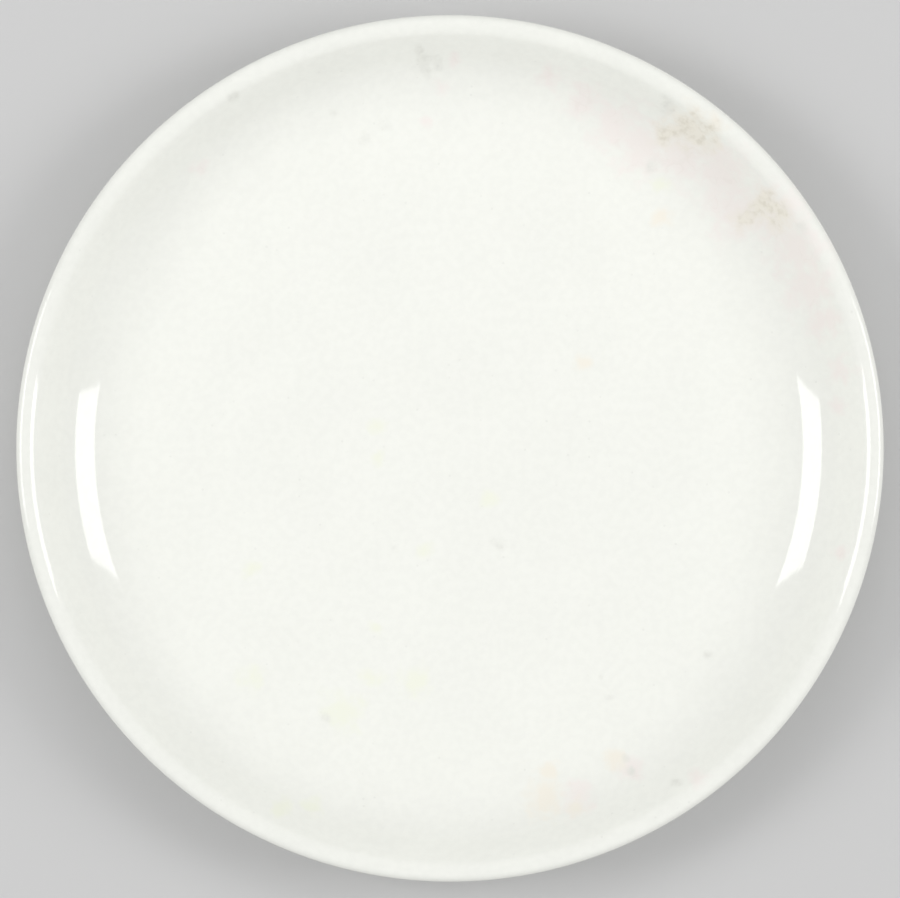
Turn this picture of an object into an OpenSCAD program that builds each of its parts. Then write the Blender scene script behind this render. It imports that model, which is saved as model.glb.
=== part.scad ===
// Evaporating dish: a shallow round porcelain dish with a flat floor, a coved side that
// runs up straight to a rounded lip, and a low foot ring. One fired piece, all of it turned
// about the Z axis. The origin is the centre of the foot ring's face, on the bench.

/* [Dish] */
// Diameter over the lip
rim_d = 100; // [80:1:160]
// Depth inside, from the flat floor to the top of the lip
depth = 7.3; // [6.4:0.1:16]
// Thickness of the porcelain, the same in the floor and the side
wall_t = 2.2; // [1.6:0.1:3.2]
// Radius of the lip's wide shoulder inside, which sets its tighter round outside
shoulder_r = 2; // [1.6:0.1:2.6]

/* [Side] */
// Slope of the straight side, in degrees from level
side_slope = 52; // [40:1:58]
// Inside radius of the cove that turns the floor up into the side
cove_r = 10.5; // [6:0.5:12]
// Inside radius of the gentle curve that leads from the flat floor into the cove
lead_in_r = 23; // [16:1:40]
// Slope at which the gentle curve passes into the cove, in degrees from level
lead_in_slope = 9; // [4:1:11]

/* [Foot ring] */
// Distance from the edge of the flat floor in to the outside of the foot ring
foot_inset = 1; // [0:0.5:3]
// Width of the foot ring
foot_w = 3; // [2:0.5:5]
// Height of the foot ring below the underside of the floor
foot_h = 0.6; // [0.6:0.1:2]
// Rounding of the two edges that the ring stands on
foot_edge_r = 0.25; // [0.1:0.05:0.25]
// Radius of the blend between the ring and the underside
foot_blend_r = 0.3; // [0.1:0.05:0.3]

/* [Hidden] */
$fn = 160;

porcelain = [0.94, 0.94, 0.91];

// The cove and the lip's outer edge are drawn this much proud of their neighbours, and the cove
// laps over its own by this angle, so that the smooth joints between the stretches are clean
// crossings.
seam = 0.0002;
lap = 2;

// Heights above the bench, and half the wall.
floor_z = foot_h + wall_t;
dish_h = floor_z + depth;
half_t = wall_t / 2;

// The lip's shoulder and its outer edge meet at its top, and between them they span the wall.
edge_r = (wall_t - shoulder_r * (1 - cos(side_slope))) / (1 + cos(side_slope));
lip_x = rim_d / 2 - edge_r;

// Where the inside of the straight side runs into the lip, and from there the centre of the
// outer edge, along the side and across it.
side_top_x = lip_x - shoulder_r * sin(side_slope);
side_top_z = dish_h - shoulder_r * (1 - cos(side_slope));
edge_centre = [(shoulder_r - edge_r) * sin(side_slope), edge_r - wall_t];

// How far each curve runs out and climbs, and what it leaves to the straight side.
lead_in_run = lead_in_r * sin(lead_in_slope);
lead_in_rise = lead_in_r * (1 - cos(lead_in_slope));
cove_run = cove_r * (sin(side_slope) - sin(lead_in_slope));
cove_rise = cove_r * (cos(lead_in_slope) - cos(side_slope));
side_rise = side_top_z - floor_z - lead_in_rise - cove_rise;
side_run = side_rise / tan(side_slope);
side_l = side_rise / sin(side_slope);

// The flat floor reaches out to where the curves begin, and the foot ring stands under its edge.
floor_r = side_top_x - side_run - cove_run - lead_in_run;
foot_r = floor_r - foot_inset;

// The two centres of curvature, which the inside and the outside of the dish share.
lead_in_centre = [floor_r, floor_z + lead_in_r];
cove_centre = [
    floor_r + lead_in_run - cove_r * sin(lead_in_slope),
    floor_z + lead_in_rise + cove_r * cos(lead_in_slope)
];

// A stretch of band that follows a curve of the dish's inside between two slopes.
module curved_band(centre, inside_r, from_slope, to_slope, above, below) {
    translate(centre)
        intersection() {
            difference() {
                circle(r = inside_r + below);
                circle(r = inside_r - above);
            }
            polygon([
                [0, 0],
                rim_d * [sin(from_slope), -cos(from_slope)],
                rim_d * [sin(to_slope), -cos(to_slope)]
            ]);
        }
}

// The band that reaches this far above and below the inside of the dish, from the axis out to
// this far past the straight side.
module band(above, below, past_side) {
    thickness = above + below;
    translate([0, floor_z - below])
        square([floor_r, thickness]);
    curved_band(lead_in_centre, lead_in_r, 0, lead_in_slope, above, below);
    curved_band(cove_centre, cove_r, lead_in_slope - lap, side_slope + lap, above, below + seam);
    translate([side_top_x, side_top_z])
        rotate(side_slope)
            translate([-side_l, -below])
                square([side_l + past_side, thickness]);
}

module wall_section() {
    difference() {
        band(half_t, wall_t, 0);
        band(wall_t, 0, wall_t);
    }
}

// The rounded end of the wall, drawn along the side from the top of its inside.
module lip_section() {
    translate([side_top_x, side_top_z])
        rotate(side_slope) {
            intersection() {
                translate([0, -shoulder_r])
                    circle(r = shoulder_r);
                polygon([
                    [0, -wall_t],
                    [edge_centre.x, -wall_t],
                    edge_centre,
                    edge_centre + shoulder_r * [sin(side_slope), cos(side_slope)],
                    [0, shoulder_r]
                ]);
            }
            translate(edge_centre)
                circle(r = edge_r + seam);
        }
}

// What lies between a square corner at the origin and the round that replaces it.
module corner(r) {
    difference() {
        square([r, r]);
        translate([r, r])
            circle(r = r);
    }
}

// The left half of the foot ring's section, about the middle of its width.
module half_foot_section() {
    half_w = foot_w / 2;
    difference() {
        translate([-half_w, 0])
            square([half_w, foot_h + half_t]);
        translate([-half_w, 0])
            corner(foot_edge_r);
    }
    translate([-half_w, foot_h])
        rotate(180)
            corner(foot_blend_r);
}

module foot_section() {
    translate([foot_r - foot_w / 2, 0]) {
        half_foot_section();
        mirror([1, 0])
            half_foot_section();
    }
}

module dish() {
    color(porcelain)
        rotate_extrude() {
            wall_section();
            lip_section();
            foot_section();
        }
}

dish();
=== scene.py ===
"""Evaporating dish: a shallow glazed porcelain dish on a pale studio floor."""

import math
from collections import namedtuple

import bpy
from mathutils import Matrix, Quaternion, Vector


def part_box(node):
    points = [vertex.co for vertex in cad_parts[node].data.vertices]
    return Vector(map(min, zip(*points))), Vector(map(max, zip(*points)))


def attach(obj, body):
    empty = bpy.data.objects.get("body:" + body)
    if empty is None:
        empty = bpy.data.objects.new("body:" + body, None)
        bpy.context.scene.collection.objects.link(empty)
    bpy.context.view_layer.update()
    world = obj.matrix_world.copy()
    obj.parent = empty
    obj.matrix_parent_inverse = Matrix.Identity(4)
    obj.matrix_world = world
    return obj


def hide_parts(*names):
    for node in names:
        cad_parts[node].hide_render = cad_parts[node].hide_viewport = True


bl_info = {
    "name": "Evaporating Dish",
    "version": (1, 0, 0),
    "blender": (4, 5, 0),
    "location": "3D View > Sidebar > Dish",
    "description": "Turns a glazed porcelain evaporating dish and lights it in a plain studio",
    "category": "Object",
}

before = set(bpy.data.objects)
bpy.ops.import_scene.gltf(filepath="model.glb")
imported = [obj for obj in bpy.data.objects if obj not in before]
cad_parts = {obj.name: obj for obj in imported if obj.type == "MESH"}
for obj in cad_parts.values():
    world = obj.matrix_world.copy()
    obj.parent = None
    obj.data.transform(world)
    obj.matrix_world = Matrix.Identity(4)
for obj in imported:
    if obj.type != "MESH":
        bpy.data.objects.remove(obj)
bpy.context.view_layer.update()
DISH_LO, DISH_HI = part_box("dish")

MM = 0.001
SIDE_ATTRIBUTE = "inside"


# Sizes and colours that a user would change


def length(name, description, default, low=0.0):
    """A size or a place, in metres."""
    return bpy.props.FloatProperty(
        name=name, description=description, default=default, min=low, precision=5,
        subtype="DISTANCE", unit="LENGTH",
    )


def angle(name, description, degrees):
    """An angle whose default is written in degrees."""
    return bpy.props.FloatProperty(
        name=name, description=description, default=math.radians(degrees),
        subtype="ANGLE", unit="ROTATION",
    )


def amount(name, description, default, high=1.0):
    """A share, a strength or a roughness."""
    return bpy.props.FloatProperty(
        name=name, description=description, default=default, min=0.0, max=high, precision=4,
    )


def colour(name, description, default):
    """A colour in linear light."""
    return bpy.props.FloatVectorProperty(
        name=name, description=description, default=default, size=3, min=0.0, max=1.0,
        subtype="COLOR",
    )


class DishSizes(bpy.types.PropertyGroup):
    """Sizes of the dish's section, and the faults that firing gave it"""

    rim_d: length("Rim diameter", "Diameter over the lip", DISH_HI.x - DISH_LO.x)
    height: length("Height", "From the bench to the top of the lip", DISH_HI.z)
    wall_t: length("Wall", "Thickness of the porcelain", 2.2 * MM)
    shoulder_r: length("Lip shoulder", "Radius of the lip's wide shoulder inside", 2 * MM)
    side_slope: angle("Side slope", "Slope of the straight side from level", 52)
    cove_r: length("Cove radius", "Inside radius where the floor turns up into the side", 10.5 * MM)
    lead_in_r: length("Lead-in radius", "Inside radius of the gentle curve before the cove", 23 * MM)
    lead_in_slope: angle("Lead-in slope", "Slope at which the gentle curve passes into the cove", 9)
    foot_inset: length("Foot inset", "From the edge of the flat floor in to the foot ring", 1 * MM)
    foot_w: length("Foot width", "Width of the foot ring", 3 * MM)
    foot_h: length("Foot height", "Height of the foot ring below the underside", 0.6 * MM)
    foot_edge_r: length("Foot edge", "Rounding of the edges that the ring stands on", 0.25 * MM)
    foot_blend_r: length("Foot blend", "Radius between the ring and the underside", 0.3 * MM)
    facets: bpy.props.IntProperty(
        name="Facets", description="Faces round the dish", default=288, min=24, max=720
    )
    out_of_round: amount("Out of round", "Share by which firing squeezed the dish along Y", 0.0008, 0.01)
    wave: length("Glaze wave", "Height of the long waves in the glaze", 0.012 * MM)
    wave_size: length("Wave size", "Width of the long waves in the glaze", 12 * MM)


class GlazeLook(bpy.types.PropertyGroup):
    """Colours and finish of the glaze, its stains and the bare foot ring"""

    white: colour("White", "Colour of the porcelain under its glaze", (0.897, 0.906, 0.854))
    bare: colour("Bare body", "Colour of the unglazed foot ring", (0.80, 0.77, 0.70))
    grit: colour("Grit", "Colour of the dirt that the bare foot ring has picked up", (0.42, 0.38, 0.31))
    pink: colour("Pink wash", "Colour of the washed-out stain along the side", (0.892, 0.848, 0.812))
    orange: colour("Orange spots", "Colour of the faint rusty spots", (0.892, 0.862, 0.775))
    yellow: colour("Yellow spots", "Colour of the faint yellow spots", (0.881, 0.898, 0.790))
    brown: colour("Brown stain", "Colour of the film round what has burnt on", (0.866, 0.832, 0.745))
    grey: colour("Grey smudges", "Colour of the grey smudges", (0.780, 0.785, 0.735))
    dark: colour("Burnt grains", "Colour of the grains and lines within the stains", (0.48, 0.44, 0.33))

    full_tone: amount("Full tone", "Share of the white at its brightest places", 1.004, 2.0)
    mottle: amount("Mottle", "How much the white darkens in wide soft patches", 0.014)
    mottle_size: length("Mottle size", "Width of the wide soft patches", 8 * MM)
    grain: amount("Grain", "How much the white darkens in fine grains", 0.022)
    grain_size: length("Grain size", "Width of the fine grains", 0.9 * MM)
    fleck: amount("Flecks", "How much the white darkens in the specks of iron", 0.06)
    fleck_gap: length("Fleck gap", "Distance between places where a speck may be", 1.25 * MM)
    lip_tone: amount("Lip tone", "How much the white darkens on the lip, where the glaze ran thin", 0.022)
    # Painted shade: the lip's outer edge is darkened in the glaze's colour where the edge turns away from
    # the light.
    edge_painted_shade: amount("Edge tone", "How much more it darkens on the lip's outer edge", 0.015)

    burnt: amount("Burnt", "How strongly the burnt grains show in the brown stains", 0.28)
    tide: amount("Tide lines", "How strongly dried edges show in the brown stains", 0.10)
    trace: amount("Traces", "How strongly dried edges show in the pink and grey marks", 0.05)

    gloss: amount("Roughness", "Roughness of the glaze", 0.06)
    gloss_change: amount("Roughness change", "How much the roughness varies with the mottle", 0.02)
    burnt_roughness: amount("Burnt roughness", "How much rougher the burnt grains are", 0.5)
    ripple: length("Ripple", "Height of the fine ripple in the glaze", 0.0016 * MM)
    ripple_size: length("Ripple size", "Width of the fine ripple in the glaze", 2.6 * MM)

    bare_roughness: amount("Bare roughness", "Roughness of the unglazed foot ring", 0.8)
    bare_top: length("Glaze line", "Height on the foot ring where the glaze was wiped off", 0.28 * MM)
    bare_wander: length("Glaze line wander", "How much that height varies round the ring", 0.3 * MM)
    dirt: amount("Dirt", "How strongly grit and scuffs show on the foot ring", 0.25)
    tooth: length("Tooth", "Height of the grain on the foot ring", 0.03 * MM)


class StudioLook(bpy.types.PropertyGroup):
    """The floor, the lamps, the surrounding light and the camera"""

    floor: colour("Floor", "Colour of the studio floor", (0.60, 0.60, 0.60))
    floor_size: length("Floor size", "Width and depth of the studio floor", 6.0)
    sky: amount("Sky", "Brightness of the light from all round", 0.65, 10.0)
    sky_tilt: amount("Sky tilt", "Share by which the sky is brighter towards -Y and darker towards +Y", 0.14)
    fill_light: amount("Fill light", "Brightness of the fill light's face", 1.3, 100.0)
    fill_place: bpy.props.FloatVectorProperty(
        name="Fill place", description="Where the fill light hangs", default=(0.0, 0.25, 0.35),
        size=3, subtype="TRANSLATION", unit="LENGTH",
    )
    fill_size: length("Fill size", "Width and height of the fill light", 0.2)

    lamp_away: length("Lamp distance", "From the dish to each softbox", 1.0)
    right_light: amount("Right light", "Brightness of the right softbox's face", 4.5, 100.0)
    right_angle: angle("Right angle", "Angle of the right softbox from straight above", 50.9)
    right_turn: angle("Right turn", "How far the right softbox stands from +X towards +Y", 5.0)
    right_roll: angle("Right roll", "How far the right softbox is rolled about its own aim", -2.3)
    right_tilt: angle("Right tilt", "How far the right softbox is stood up from facing the dish", 19.0)
    right_width: length("Right width", "Width of the right softbox", 0.395)
    right_height: length("Right height", "Height of the right softbox", 0.52)
    left_light: amount("Left light", "Brightness of the left softbox's face", 4.7, 100.0)
    left_angle: angle("Left angle", "Angle of the left softbox from straight above", 47.3)
    left_turn: angle("Left turn", "How far the left softbox stands from -X towards +Y", 5.6)
    left_roll: angle("Left roll", "How far the left softbox is rolled about its own aim", 0.5)
    left_tilt: angle("Left tilt", "How far the left softbox is stood up from facing the dish", 15.6)
    left_width: length("Left width", "Width of the left softbox", 0.395)
    left_height: length("Left height", "Height of the left softbox", 0.487)

    lens: bpy.props.FloatProperty(
        name="Lens", description="Focal length of the camera", default=250.0, min=1.0, unit="CAMERA"
    )
    view_width: length("View width", "Width that the camera takes in at the lip", 103.75 * MM)
    view_y: length(
        "View shift", "How far along Y the camera is from the dish's axis", -0.08 * MM, low=-1.0
    )


# Node trees


def add_node(tree, kind, inputs=None, **settings):
    """Adds a node; an input given a socket is linked, and any other input is set."""
    node = tree.nodes.new(kind)
    for name, value in settings.items():
        setattr(node, name, value)
    for key, value in (inputs or {}).items():
        if isinstance(value, bpy.types.NodeSocket):
            tree.links.new(value, node.inputs[key])
        else:
            node.inputs[key].default_value = value
    return node


def math_node(tree, operation, *values):
    """One step of arithmetic on numbers or sockets."""
    return add_node(tree, "ShaderNodeMath", dict(enumerate(values)), operation=operation).outputs[0]


def scaled(tree, value, factor):
    """A number times another, either of which may be a socket."""
    return math_node(tree, "MULTIPLY", value, factor)


def vector_node(tree, operation, inputs):
    """One step of arithmetic on a vector, whose result is a vector."""
    return add_node(tree, "ShaderNodeVectorMath", inputs, operation=operation).outputs["Vector"]


def vector_number(tree, operation, inputs):
    """One step of arithmetic on a vector, whose result is a number."""
    return add_node(tree, "ShaderNodeVectorMath", inputs, operation=operation).outputs["Value"]


def ramp(tree, value, start, end, smooth=True):
    """Rises from 0 at start to 1 at end."""
    return add_node(
        tree, "ShaderNodeMapRange", {"Value": value, "From Min": start, "From Max": end},
        interpolation_type="SMOOTHSTEP" if smooth else "LINEAR",
    ).outputs[0]


def noise_at(tree, point, size, detail=2.0):
    """Noise from 0 to 1 with grains of this many millimetres."""
    return add_node(
        tree, "ShaderNodeTexNoise", {"Vector": point, "Scale": 1.0 / size, "Detail": detail}
    ).outputs[0]


def patches(tree, point, size, low, high, detail=2.0):
    """Noise of which the part from low to high is stretched over 0 to 1."""
    return ramp(tree, noise_at(tree, point, size, detail), low, high)


def blend(tree, share, below, above):
    """Mixes two colours, either of which may be a socket."""
    node = add_node(tree, "ShaderNodeMix", data_type="RGBA")
    sockets = (node.inputs[0], node.inputs[6], node.inputs[7])
    for socket, value in zip(sockets, (share, below, above)):
        if isinstance(value, bpy.types.NodeSocket):
            tree.links.new(value, socket)
        else:
            socket.default_value = (*value, 1.0)
    return node.outputs[2]


Place = namedtuple("Place", "point flat height radius inside")


def places(tree):
    """A place on the dish in millimetres: the point, the point as seen from straight above, its height
    and its distance from the axis; and 1 where it is on the inside or 0 where it isn't."""
    metres = add_node(tree, "ShaderNodeTexCoord").outputs["Object"]
    point = vector_node(tree, "SCALE", {0: metres, "Scale": 1 / MM})
    axes = add_node(tree, "ShaderNodeSeparateXYZ", {0: point}).outputs
    flat = add_node(tree, "ShaderNodeCombineXYZ", {"X": axes["X"], "Y": axes["Y"]}).outputs[0]
    radius = vector_number(tree, "LENGTH", {0: flat})
    inside = add_node(tree, "ShaderNodeAttribute", attribute_name=SIDE_ATTRIBUTE).outputs["Fac"]
    return Place(point, flat, axes["Z"], radius, inside)


# The dish's section

# Faces along each stretch of the section.
FLOOR_STEPS = 10
LEAD_IN_STEPS = 8
COVE_STEPS = 24
SIDE_STEPS = 3
SHOULDER_STEPS = 14
EDGE_STEPS = 14
UNDER_EDGE_STEPS = 8
FOOT_ROUND_STEPS = 6
FOOT_FACE_STEPS = 4
UNDERSIDE_STEPS = 8

QUARTER = math.pi / 2


def arc(centre, radius, start, end, steps):
    """Points on an arc, with its angles counted from straight down towards +X."""
    points = []
    for step in range(steps + 1):
        turn = start + (end - start) * step / steps
        points.append((centre[0] + radius * math.sin(turn), centre[1] - radius * math.cos(turn)))
    return points


def run(start, end, steps):
    """Points on a straight stretch, without its ends."""
    return [
        tuple(a + (b - a) * step / steps for a, b in zip(start, end))
        for step in range(1, steps)
    ]


def foot_outline(sizes, foot_out):
    """Points from the underside outside the foot ring, over the ring, to the underside inside it."""
    foot_in = foot_out - sizes.foot_w
    edge, blend = sizes.foot_edge_r, sizes.foot_blend_r
    blend_z = sizes.foot_h - blend
    points = arc((foot_out + blend, blend_z), -blend, 0, QUARTER, FOOT_ROUND_STEPS)
    points += arc((foot_out - edge, edge), edge, QUARTER, 0, FOOT_ROUND_STEPS)
    points += run(points[-1], (foot_in + edge, 0.0), FOOT_FACE_STEPS)
    points += arc((foot_in + edge, edge), edge, 0, -QUARTER, FOOT_ROUND_STEPS)
    points += arc((foot_in - blend, blend_z), -blend, -QUARTER, 0, FOOT_ROUND_STEPS)
    return points


def dish_section(sizes):
    """The outline of half the dish's section from the axis out along the inside, over the lip and back
    under it to the axis, and how many of its points lie on the inside."""
    wall, shoulder_r = sizes.wall_t, sizes.shoulder_r
    slope, lead_slope = sizes.side_slope, sizes.lead_in_slope
    floor_z = sizes.foot_h + wall

    edge_r = (wall - shoulder_r * (1 - math.cos(slope))) / (1 + math.cos(slope))
    lip_x = sizes.rim_d / 2 - edge_r
    side_top = (
        lip_x - shoulder_r * math.sin(slope),
        sizes.height - shoulder_r * (1 - math.cos(slope)),
    )
    lead_run = sizes.lead_in_r * math.sin(lead_slope)
    lead_rise = sizes.lead_in_r * (1 - math.cos(lead_slope))
    cove_run = sizes.cove_r * (math.sin(slope) - math.sin(lead_slope))
    cove_rise = sizes.cove_r * (math.cos(lead_slope) - math.cos(slope))
    side_rise = side_top[1] - floor_z - lead_rise - cove_rise
    floor_r = side_top[0] - side_rise / math.tan(slope) - cove_run - lead_run

    edge_centre = (lip_x, sizes.height - edge_r)
    lead_centre = (floor_r, floor_z + sizes.lead_in_r)
    cove_centre = (
        floor_r + lead_run - sizes.cove_r * math.sin(lead_slope),
        floor_z + lead_rise + sizes.cove_r * math.cos(lead_slope),
    )

    inside = [(0.0, floor_z)] + run((0.0, floor_z), (floor_r, floor_z), FLOOR_STEPS)
    inside += arc(lead_centre, sizes.lead_in_r, 0, lead_slope, LEAD_IN_STEPS)
    inside += arc(cove_centre, sizes.cove_r, lead_slope, slope, COVE_STEPS)[1:]
    inside += run(inside[-1], side_top, SIDE_STEPS)
    inside += arc((lip_x, sizes.height - shoulder_r), -shoulder_r, slope, 0, SHOULDER_STEPS)
    inside += arc(edge_centre, -edge_r, 0, -QUARTER, EDGE_STEPS)[1:]

    outside = arc(edge_centre, edge_r, QUARTER, slope, UNDER_EDGE_STEPS)[1:]
    cove_outside = arc(cove_centre, sizes.cove_r + wall, slope, lead_slope, COVE_STEPS)
    outside += run(outside[-1], cove_outside[0], SIDE_STEPS) + cove_outside
    outside += arc(lead_centre, sizes.lead_in_r + wall, lead_slope, 0, LEAD_IN_STEPS)[1:]
    outside += foot_outline(sizes, floor_r - sizes.foot_inset)
    axis_point = (0.0, sizes.foot_h)
    outside += run(outside[-1], axis_point, UNDERSIDE_STEPS) + [axis_point]
    return inside + outside, len(inside)


def section_mesh(sizes):
    """The section as a chain of edges, with each point marked as inside the dish or outside."""
    points, inside_count = dish_section(sizes)
    mesh = bpy.data.meshes.new("dish_section")
    edges = [(index, index + 1) for index in range(len(points) - 1)]
    mesh.from_pydata([(x, -z, 0.0) for x, z in points], edges, [])
    side = mesh.attributes.new(SIDE_ATTRIBUTE, "FLOAT", "POINT")
    for index in range(inside_count):
        side.data[index].value = 1.0
    return mesh


# The turned pot

WAVE_SEED = 3.0
# How far above the foot the waves reach their full height.
WAVE_FADE = 1 * MM
# Points closer than this are joined, which closes the middle of the floor and of the underside.
MERGE_GAP = MM / 1000

POT_INPUTS = {
    "Section": "NodeSocketGeometry",
    "Rim Radius": "NodeSocketFloat",
    "Facets": "NodeSocketInt",
    "Out of Round": "NodeSocketFloat",
    "Wave Height": "NodeSocketFloat",
    "Wave Size": "NodeSocketFloat",
    "Foot Height": "NodeSocketFloat",
    "Seed": "NodeSocketFloat",
    "Glaze": "NodeSocketMaterial",
}


def turned(tree, given):
    """The section turned about the Z axis, with its poles closed."""
    wheel = add_node(
        tree, "GeometryNodeCurvePrimitiveCircle",
        {"Resolution": given["Facets"], "Radius": given["Rim Radius"]},
    )
    inwards = add_node(tree, "ShaderNodeCombineXYZ", {"X": scaled(tree, given["Rim Radius"], -1.0)})
    moved = add_node(
        tree, "GeometryNodeSetPosition",
        {"Geometry": given["Section"], "Offset": inwards.outputs[0]},
    )
    profile = add_node(tree, "GeometryNodeMeshToCurve", {"Mesh": moved.outputs[0]})
    pot = add_node(
        tree, "GeometryNodeCurveToMesh",
        {"Curve": wheel.outputs["Curve"], "Profile Curve": profile.outputs[0]},
    )
    closed = add_node(
        tree, "GeometryNodeMergeByDistance", {"Geometry": pot.outputs[0], "Distance": MERGE_GAP}
    )
    return closed.outputs[0]


def fired(tree, given, pot):
    """The pot squeezed out of round, with long waves in its glaze everywhere but on the foot."""
    position = add_node(tree, "GeometryNodeInputPosition").outputs[0]
    normal = add_node(tree, "GeometryNodeInputNormal").outputs[0]
    height = add_node(tree, "ShaderNodeSeparateXYZ", {0: position}).outputs["Z"]

    narrowed = math_node(tree, "SUBTRACT", 1.0, given["Out of Round"])
    oval = add_node(tree, "ShaderNodeCombineXYZ", {"X": 1.0, "Y": narrowed, "Z": 1.0}).outputs[0]
    squeezed = vector_node(tree, "MULTIPLY", {0: position, 1: oval})

    noise = add_node(
        tree, "ShaderNodeTexNoise",
        {"W": given["Seed"], "Scale": math_node(tree, "DIVIDE", 1.0, given["Wave Size"]), "Detail": 1.0},
        noise_dimensions="4D",
    ).outputs[0]
    above_foot = add_node(
        tree, "ShaderNodeMapRange",
        {
            "Value": height,
            "From Min": given["Foot Height"],
            "From Max": math_node(tree, "ADD", given["Foot Height"], WAVE_FADE),
        },
    ).outputs[0]
    sunk = math_node(tree, "MULTIPLY", noise, scaled(tree, given["Wave Height"], -1.0))
    wave = vector_node(tree, "SCALE", {0: normal, "Scale": scaled(tree, sunk, above_foot)})
    return add_node(
        tree, "GeometryNodeSetPosition", {"Geometry": pot, "Position": squeezed, "Offset": wave}
    ).outputs[0]


def turning_tree():
    """Geometry Nodes that turn a section on the wheel, fire it and glaze it."""
    tree = bpy.data.node_groups.new("Turned Pot", "GeometryNodeTree")
    for name, kind in POT_INPUTS.items():
        tree.interface.new_socket(name=name, in_out="INPUT", socket_type=kind)
    tree.interface.new_socket(name="Pot", in_out="OUTPUT", socket_type="NodeSocketGeometry")
    given = add_node(tree, "NodeGroupInput").outputs

    pot = fired(tree, given, turned(tree, given))
    smooth = add_node(tree, "GeometryNodeSetShadeSmooth", {0: pot})
    real = add_node(tree, "GeometryNodeRealizeInstances", {"Geometry": smooth.outputs[0]})
    glazed = add_node(
        tree, "GeometryNodeSetMaterial", {"Geometry": real.outputs[0], "Material": given["Glaze"]}
    )
    add_node(tree, "NodeGroupOutput", {0: glazed.outputs[0]})
    return tree


def turned_dish(sizes, material):
    """Runs the turning tree on the section and returns the dish as a plain mesh object."""
    blank = bpy.data.objects.new("dish_section", section_mesh(sizes))
    bpy.context.scene.collection.objects.link(blank)
    modifier = blank.modifiers.new("Turned Pot", "NODES")
    modifier.node_group = turning_tree()
    values = {
        "Rim Radius": sizes.rim_d / 2,
        "Facets": sizes.facets,
        "Out of Round": sizes.out_of_round,
        "Wave Height": sizes.wave,
        "Wave Size": sizes.wave_size,
        "Foot Height": sizes.foot_h,
        "Seed": WAVE_SEED,
        "Glaze": material,
    }
    for item in modifier.node_group.interface.items_tree:
        if item.name in values:
            modifier[item.identifier] = values[item.name]
    graph = bpy.context.evaluated_depsgraph_get()
    mesh = bpy.data.meshes.new_from_object(blank.evaluated_get(graph), depsgraph=graph)
    blank.modifiers.remove(modifier)
    bpy.data.objects.remove(blank)
    mesh.name = "porcelain_dish"
    dish = bpy.data.objects.new("porcelain_dish", mesh)
    bpy.context.scene.collection.objects.link(dish)
    return dish


# Marks of use

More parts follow.
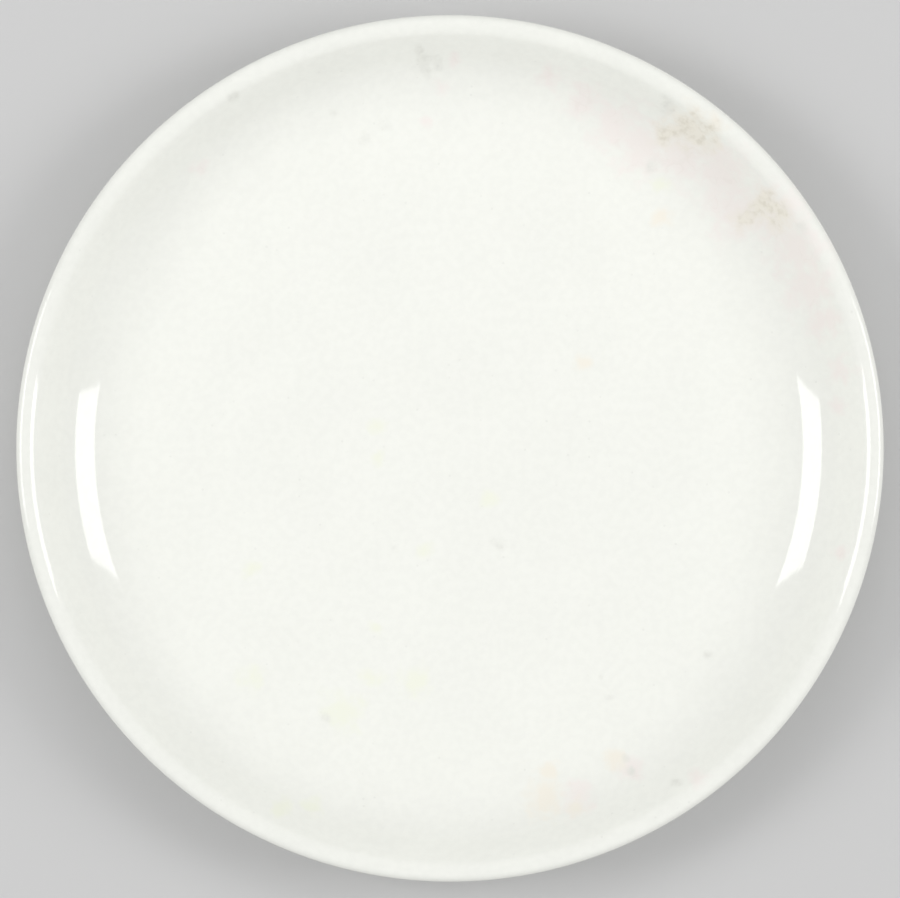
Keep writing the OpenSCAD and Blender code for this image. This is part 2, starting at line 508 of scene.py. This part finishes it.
# Each mark has a kind, a place from the middle of the dish and a radius, in millimetres, and a
# strength. Marks of one kind that touch run into each other.
Mark = namedtuple("Mark", "kind x y radius strength")
MARKS = (
    Mark("pink", 11.5, 43.0, 2.2, 0.7),
    Mark("pink", 15.5, 40.5, 3.2, 0.8),
    Mark("pink", 19.0, 37.5, 3.8, 0.9),
    Mark("pink", 22.5, 35.0, 4.0, 1.0),
    Mark("pink", 27.0, 34.5, 4.0, 1.0),
    Mark("pink", 31.0, 32.0, 4.0, 1.0),
    Mark("pink", 33.5, 27.5, 4.2, 1.0),
    Mark("pink", 37.5, 27.0, 4.0, 1.0),
    Mark("pink", 40.0, 23.0, 3.8, 1.0),
    Mark("pink", 41.5, 18.5, 3.4, 0.9),
    Mark("pink", 43.0, 14.5, 2.8, 0.8),
    Mark("pink", 45.0, 9.0, 2.4, 0.7),
    Mark("pink", 45.0, 5.0, 1.6, 0.7),
    Mark("pink", 45.0, -12.0, 1.4, 0.7),
    Mark("pink", 14.5, -40.5, 2.6, 0.9),
    Mark("pink", 21.0, -37.0, 1.9, 0.9),
    Mark("pink", 28.5, -38.0, 1.3, 0.9),
    Mark("pink", 0.5, 45.0, 1.3, 0.7),
    Mark("pink", -1.0, 42.0, 1.4, 0.7),
    Mark("pink", -3.0, 38.0, 1.3, 0.6),
    Mark("pink", -29.0, 32.5, 1.5, 0.7),
    Mark("orange", 11.0, -40.5, 2.7, 1.0),
    Mark("orange", 11.5, -37.5, 1.3, 1.0),
    Mark("orange", 14.5, -41.5, 1.6, 0.8),
    Mark("orange", 19.0, -36.0, 1.5, 1.0),
    Mark("orange", 15.5, 10.0, 1.3, 0.9),
    Mark("orange", 24.5, 27.0, 1.5, 0.9),
    Mark("yellow", 24.5, 30.5, 1.5, 0.9),
    Mark("yellow", -8.5, 2.5, 1.4, 0.8),
    Mark("yellow", -8.5, -1.0, 1.4, 0.8),
    Mark("yellow", 4.5, -6.0, 1.5, 0.8),
    Mark("yellow", -3.0, -12.0, 1.5, 0.8),
    Mark("yellow", -23.0, -14.0, 1.5, 0.8),
    Mark("yellow", -23.0, -26.5, 2.2, 0.8),
    Mark("yellow", -8.5, -21.0, 1.4, 0.7),
    Mark("yellow", -4.0, -27.0, 2.2, 0.9),
    Mark("yellow", -9.0, -27.0, 2.0, 0.8),
    Mark("yellow", -12.5, -30.5, 3.0, 0.9),
    Mark("yellow", -19.5, -41.5, 1.5, 0.9),
    Mark("yellow", -16.0, -41.5, 1.5, 0.9),
    Mark("brown", 25.0, 36.5, 2.4, 0.8),
    Mark("brown", 27.5, 37.0, 2.8, 1.0),
    Mark("brown", 29.5, 36.5, 2.4, 1.0),
    Mark("brown", 34.0, 26.5, 2.2, 0.7),
    Mark("brown", 36.5, 28.0, 2.4, 0.9),
    Mark("brown", 38.0, 26.5, 2.1, 0.8),
    Mark("grey", -3.5, 46.0, 0.9, 0.8),
    Mark("grey", -3.0, 44.5, 1.3, 1.0),
    Mark("grey", -1.5, 44.5, 1.3, 0.8),
    Mark("grey", -7.5, 37.5, 1.4, 0.6),
    Mark("grey", -10.0, 36.0, 1.2, 0.6),
    Mark("grey", -13.5, 39.0, 1.2, 0.5),
    Mark("grey", 25.0, 39.5, 1.4, 0.8),
    Mark("grey", 6.0, -11.5, 1.7, 0.6),
    Mark("grey", -6.5, -11.5, 1.3, 0.4),
    Mark("grey", 23.5, 33.0, 1.5, 0.6),
    Mark("grey", 40.5, 25.5, 1.2, 0.6),
    Mark("grey", 26.0, -38.5, 0.9, 0.8),
    Mark("grey", 30.0, -24.0, 0.7, 0.9),
    Mark("grey", 17.5, -26.5, 0.6, 0.7),
    Mark("grey", 18.5, -29.0, 0.7, 0.8),
    Mark("grey", -14.5, -31.5, 0.8, 0.8),
    Mark("grey", -25.0, 40.5, 0.9, 0.9),
    Mark("grey", 20.5, -36.0, 0.6, 0.8),
    Mark("grey", 21.0, -37.5, 0.7, 0.8),
)

# How a mark fades, in shares of its radius: full within the first and gone past the second.
MARK_FULL = 0.15
MARK_GONE = 1.25
# Also in radii: how far off a place counts as being when no mark is near it, how softly marks run
# into each other, and how far at most their edges are torn in or out.
FAR_AWAY = 2.0
MARK_MERGE = 0.25
MARK_TEAR = 0.9
# Size of the tears, in millimetres.
TEAR_SIZE = 1.6


def mark_strength(tree, kind, place, ragged):
    """How strongly the marks of one kind show at a place, with their edges broken up."""
    away = FAR_AWAY
    for mark in MARKS:
        if mark.kind == kind:
            gap = vector_number(tree, "DISTANCE", {0: place.flat, 1: (mark.x, mark.y, 0.0)})
            gap = math_node(tree, "MULTIPLY_ADD", gap, 1.0 / mark.radius, 1.0 - mark.strength)
            away = math_node(tree, "SMOOTH_MIN", away, gap, MARK_MERGE)
    torn = math_node(tree, "ADD", away, ragged)
    return scaled(tree, ramp(tree, torn, MARK_GONE, MARK_FULL), place.inside)


def all_marks(tree, place):
    """How strongly each kind of mark shows at a place."""
    noise = noise_at(tree, place.point, TEAR_SIZE, detail=3.0)
    ragged = math_node(tree, "MULTIPLY_ADD", noise, 2 * MARK_TEAR, -MARK_TEAR)
    kinds = dict.fromkeys(mark.kind for mark in MARKS)
    return {kind: mark_strength(tree, kind, place, ragged) for kind in kinds}


# The glaze

# Sizes of the finish's grain and of its fades, in millimetres.
LIP_FADE = 1.0
BLOTCH_SIZE = 0.9
TIDE_SIZE = 1.8
TIDE_BREAK_SIZE = 3.0
GLAZE_LINE_SIZE = 3.0
GLAZE_LINE_FADE = 0.05
GRIT_SIZE = 0.4
SCUFF_SIZE = 5.0
TOOTH_SIZE = 0.3

# A speck of iron is full within the first share of its cell's width and gone past the second. Only a
# cell whose own random number is over the third has one, and the higher the number, the stronger.
SPECK_FULL = 0.06
SPECK_GONE = 0.16
SPECK_RARE = 0.7

# Kinds of mark that are even washes of colour, from the lowest to the highest. The grey smudges lie
# over them and are patchy.
WASHES = ("pink", "orange", "yellow", "brown")
# How strong a brown stain has to be before anything in it is burnt.
BURNT_FROM = 0.4
# A dried edge follows the places where a noise is at its middle value, and fades this far off it.
TIDE_WIDTH = 0.05

GLAZE_IOR = 1.5


def iron_specks(tree, look, place):
    """Fine specks of iron, one in each of a few of the cells that a pattern makes."""
    cell = add_node(
        tree, "ShaderNodeTexVoronoi", {"Vector": place.point, "Scale": MM / look.fleck_gap}
    ).outputs
    number = add_node(tree, "ShaderNodeSeparateColor", {0: cell["Color"]}).outputs[0]
    rare = ramp(tree, number, SPECK_RARE, 1.0)
    return scaled(tree, ramp(tree, cell["Distance"], SPECK_GONE, SPECK_FULL), rare)


def lip_tone_and_edge_shade(tree, look, sizes, place):
    """How much the white darkens on the lip, and more so on its outer edge, where the extra darkening is
    painted shade.
    """
    rim_r = sizes.rim_d / 2 / MM
    lip_start = rim_r - sizes.wall_t / MM
    lip = ramp(tree, place.radius, lip_start, lip_start + LIP_FADE)
    # Painted shade on the lip's outer edge.
    edge = ramp(tree, place.radius, rim_r - LIP_FADE, rim_r)
    return math_node(tree, "MULTIPLY_ADD", edge, look.edge_painted_shade, scaled(tree, lip, look.lip_tone))


def white_glaze(tree, look, sizes, place, mottle):
    """The white of the porcelain, a little uneven, with fine specks of iron in it."""
    grain = patches(tree, place.point, look.grain_size / MM, low=0.3, high=0.7)
    tone = math_node(tree, "MULTIPLY_ADD", mottle, -look.mottle, look.full_tone)
    tone = math_node(tree, "MULTIPLY_ADD", grain, -look.grain, tone)
    tone = math_node(tree, "MULTIPLY_ADD", iron_specks(tree, look, place), -look.fleck, tone)
    # Darkens the lip, and paints shade on the lip's outer edge.
    tone = math_node(tree, "SUBTRACT", tone, lip_tone_and_edge_shade(tree, look, sizes, place))
    return vector_node(tree, "SCALE", {0: look.white, "Scale": tone})


def dried_edges(tree, place):
    """Thin wandering lines with gaps in them, such as a film leaves as it dries."""
    wander = noise_at(tree, place.point, TIDE_SIZE, detail=1.0)
    off_line = math_node(tree, "ABSOLUTE", math_node(tree, "SUBTRACT", wander, 0.5))
    broken = patches(tree, place.point, TIDE_BREAK_SIZE, low=0.45, high=0.6, detail=0.0)
    return scaled(tree, ramp(tree, off_line, TIDE_WIDTH, 0.0), broken)


def burnt_grains(tree, look, place, marks, blotch):
    """How strongly burnt grains and dried edges show within the stains."""
    tide = dried_edges(tree, place)
    core = ramp(tree, marks["brown"], BURNT_FROM, 1.0)
    burnt = scaled(tree, scaled(tree, core, blotch), look.burnt)
    faint = math_node(tree, "MAXIMUM", marks["pink"], marks["grey"])
    for stain, strength in ((marks["brown"], look.tide), (faint, look.trace)):
        lines = scaled(tree, scaled(tree, stain, tide), strength)
        burnt = math_node(tree, "MAXIMUM", burnt, lines)
    return burnt


def stained_glaze(tree, look, place, white):
    """The white with the stains of use over it, and how burnt it is."""
    marks = all_marks(tree, place)
    blotch = patches(tree, place.point, BLOTCH_SIZE, low=0.40, high=0.68)
    stained = white
    for kind in WASHES:
        stained = blend(tree, marks[kind], stained, getattr(look, kind))
    patchy = math_node(tree, "MULTIPLY_ADD", blotch, 0.5, 0.5)
    stained = blend(tree, scaled(tree, marks["grey"], patchy), stained, look.grey)
    burnt = burnt_grains(tree, look, place, marks, blotch)
    return blend(tree, burnt, stained, look.dark), burnt


def bare_foot(tree, look, place):
    """How bare of glaze the foot ring is, up to an uneven line, and the colour of its dirty body."""
    wander, height = look.bare_wander / MM, look.bare_top / MM
    noise = noise_at(tree, place.point, GLAZE_LINE_SIZE, detail=1.0)
    line = math_node(tree, "MULTIPLY_ADD", noise, wander, height - wander / 2)
    below = math_node(tree, "SUBTRACT", line, GLAZE_LINE_FADE)
    bare = ramp(tree, place.height, line, below, smooth=False)
    grit = patches(tree, place.point, GRIT_SIZE, low=0.5, high=0.68)
    scuff = patches(tree, place.point, SCUFF_SIZE, low=0.5, high=0.62, detail=3.0)
    dirt = scaled(tree, math_node(tree, "ADD", scuff, grit), look.dirt)
    return bare, blend(tree, dirt, look.bare, look.grit)


def surface_roughness(tree, look, mottle, burnt, bare):
    """The roughness of the glaze, which is greater where it is burnt, and of the bare foot ring."""
    change = look.gloss_change
    glazed = math_node(tree, "MULTIPLY_ADD", mottle, change, look.gloss - change / 2)
    glazed = math_node(tree, "MULTIPLY_ADD", burnt, look.burnt_roughness, glazed)
    return add_node(
        tree, "ShaderNodeMapRange", {"Value": bare, "To Min": glazed, "To Max": look.bare_roughness}
    ).outputs[0]


def surface_relief(tree, look, place, bare):
    """A fine ripple in the glaze, and the grain of the bare foot ring."""
    ripple = noise_at(tree, place.point, look.ripple_size / MM, detail=1.0)
    ripple = scaled(tree, ripple, look.ripple / MM)
    tooth = scaled(tree, noise_at(tree, place.point, TOOTH_SIZE, detail=0.0), bare)
    relief = math_node(tree, "MULTIPLY_ADD", tooth, look.tooth / MM, ripple)
    return add_node(
        tree, "ShaderNodeBump", {"Height": relief, "Distance": MM, "Strength": 1.0}
    ).outputs[0]


def glaze_material(look, sizes):
    """Glossy glaze over white porcelain, with the stains of use, and a bare foot ring."""
    material = bpy.data.materials.new("glazed_porcelain")
    material.use_nodes = True
    tree = material.node_tree
    shader = tree.nodes["Principled BSDF"]
    place = places(tree)
    mottle = patches(tree, place.point, look.mottle_size / MM, low=0.3, high=0.7)
    white = white_glaze(tree, look, sizes, place, mottle)
    glaze, burnt = stained_glaze(tree, look, place, white)
    bare, body = bare_foot(tree, look, place)
    tree.links.new(blend(tree, bare, glaze, body), shader.inputs["Base Color"])
    tree.links.new(surface_roughness(tree, look, mottle, burnt, bare), shader.inputs["Roughness"])
    tree.links.new(surface_relief(tree, look, place, bare), shader.inputs["Normal"])
    shader.inputs["IOR"].default_value = GLAZE_IOR
    return material


class DISH_OT_turn_dish(bpy.types.Operator):
    """Turn the porcelain dish and glaze it"""

    bl_idname = "dish.turn_dish"
    bl_label = "Turn Dish"

    def execute(self, context):
        scene = context.scene
        glaze = glaze_material(scene.dish_glaze, scene.dish_sizes)
        dish = turned_dish(scene.dish_sizes, glaze)
        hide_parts("dish")
        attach(dish, "root")
        return {"FINISHED"}


# The studio

CLIP_START = 0.01
CLIP_END = 100.0


def floor_material(look):
    """An even matte floor."""
    material = bpy.data.materials.new("studio_floor")
    material.use_nodes = True
    shader = material.node_tree.nodes["Principled BSDF"]
    shader.inputs["Base Color"].default_value = (*look.floor, 1.0)
    shader.inputs["Roughness"].default_value = 1.0
    shader.inputs["Specular IOR Level"].default_value = 0.0
    return material


def studio_floor(look):
    """A square floor with its middle under the dish."""
    half = look.floor_size / 2
    corners = [(-half, -half, 0), (half, -half, 0), (half, half, 0), (-half, half, 0)]
    mesh = bpy.data.meshes.new("studio_floor")
    mesh.from_pydata(corners, [], [(0, 1, 2, 3)])
    mesh.materials.append(floor_material(look))
    floor = bpy.data.objects.new("studio_floor", mesh)
    bpy.context.scene.collection.objects.link(floor)
    return floor


def add_lamp(look, side, turn):
    """A softbox that faces the dish, with its settings from the studio's properties for that side."""
    face, steep, roll, tilt, width, height = (
        getattr(look, f"{side}_{word}")
        for word in ("light", "angle", "roll", "tilt", "width", "height")
    )
    light = bpy.data.lights.new(f"{side}_softbox", "AREA")
    light.shape = "RECTANGLE"
    light.size, light.size_y = width, height
    light.energy = face * math.pi * width * height
    aim = Vector((math.sin(steep) * math.cos(turn), math.sin(steep) * math.sin(turn), math.cos(steep)))
    level = Vector((-math.sin(turn), math.cos(turn), 0))
    facing = (-aim).to_track_quat("-Z", "Y")
    lamp = bpy.data.objects.new(f"{side}_softbox", light)
    lamp.location = aim * look.lamp_away + Vector((0, 0, DISH_HI.z))
    lamp.rotation_mode = "QUATERNION"
    lamp.rotation_quaternion = Quaternion(aim, roll) @ Quaternion(level, tilt) @ facing
    bpy.context.scene.collection.objects.link(lamp)


def add_fill(look):
    """A square fill light above and beyond the dish's far side, which leaves no highlight of its own."""
    light = bpy.data.lights.new("fill", "AREA")
    light.size = look.fill_size
    light.energy = look.fill_light * math.pi * light.size ** 2
    lamp = bpy.data.objects.new("fill", light)
    lamp.location = look.fill_place
    lamp.rotation_euler = (-Vector(look.fill_place)).to_track_quat("-Z", "Y").to_euler()
    lamp.visible_glossy = False
    bpy.context.scene.collection.objects.link(lamp)


def sky_world(look):
    """A white sky that is a little brighter on one side."""
    world = bpy.data.worlds.new("studio")
    world.use_nodes = True
    tree = world.node_tree
    background = tree.nodes["Background"]
    direction = add_node(tree, "ShaderNodeTexCoord").outputs["Generated"]
    along_y = add_node(tree, "ShaderNodeSeparateXYZ", {0: direction}).outputs["Y"]
    tilt = math_node(tree, "MULTIPLY_ADD", along_y, -look.sky_tilt, 1.0)
    tree.links.new(scaled(tree, tilt, look.sky), background.inputs["Strength"])
    background.inputs["Color"].default_value = (1.0, 1.0, 1.0, 1.0)
    return world


def add_camera(look, sizes):
    """A camera straight above the dish, which fills most of the width of its picture."""
    data = bpy.data.cameras.new("camera")
    data.lens = look.lens
    data.clip_start, data.clip_end = CLIP_START, CLIP_END
    camera = bpy.data.objects.new("camera", data)
    lip_z = sizes.height - sizes.wall_t / 2
    away = look.view_width * look.lens / data.sensor_width
    camera.location = (0.0, look.view_y, lip_z + away)
    bpy.context.scene.collection.objects.link(camera)
    bpy.context.scene.camera = camera


class DISH_OT_set_stage(bpy.types.Operator):
    """Lay the floor and set up the lamps, the surrounding light and the camera"""

    bl_idname = "dish.set_stage"
    bl_label = "Set Stage"

    def execute(self, context):
        scene = context.scene
        look = scene.dish_studio
        studio_floor(look)
        add_lamp(look, "right", look.right_turn)
        add_lamp(look, "left", math.pi - look.left_turn)
        add_fill(look)
        scene.world = sky_world(look)
        add_camera(look, scene.dish_sizes)
        scene.view_settings.view_transform = "Standard"
        return {"FINISHED"}


# The add-on

STEPS = (DISH_OT_turn_dish, DISH_OT_set_stage)
GROUPS = {"dish_sizes": DishSizes, "dish_glaze": GlazeLook, "dish_studio": StudioLook}


class DISH_PT_panel(bpy.types.Panel):
    """The steps that make the dish and its stage, and the sizes and colours that they use"""

    bl_idname = "DISH_PT_panel"
    bl_label = "Evaporating Dish"
    bl_space_type = "VIEW_3D"
    bl_region_type = "UI"
    bl_category = "Dish"

    def draw(self, context):
        for step in STEPS:
            self.layout.operator(step.bl_idname)
        for name in GROUPS:
            settings = getattr(context.scene, name)
            box = self.layout.box()
            for prop in settings.__annotations__:
                box.prop(settings, prop)


CLASSES = (*GROUPS.values(), *STEPS, DISH_PT_panel)


def register():
    """Registers the classes and gives each scene its groups of settings."""
    for cls in CLASSES:
        bpy.utils.register_class(cls)
    for name, group in GROUPS.items():
        setattr(bpy.types.Scene, name, bpy.props.PointerProperty(type=group))


def unregister():
    """Takes away all that register added."""
    for name in GROUPS:
        delattr(bpy.types.Scene, name)
    for cls in reversed(CLASSES):
        bpy.utils.unregister_class(cls)


def main():
    """Makes the dish and its stage."""
    register()
    for step in STEPS:
        group, name = step.bl_idname.split(".")
        getattr(getattr(bpy.ops, group), name)()


if __name__ == "__main__":
    main()
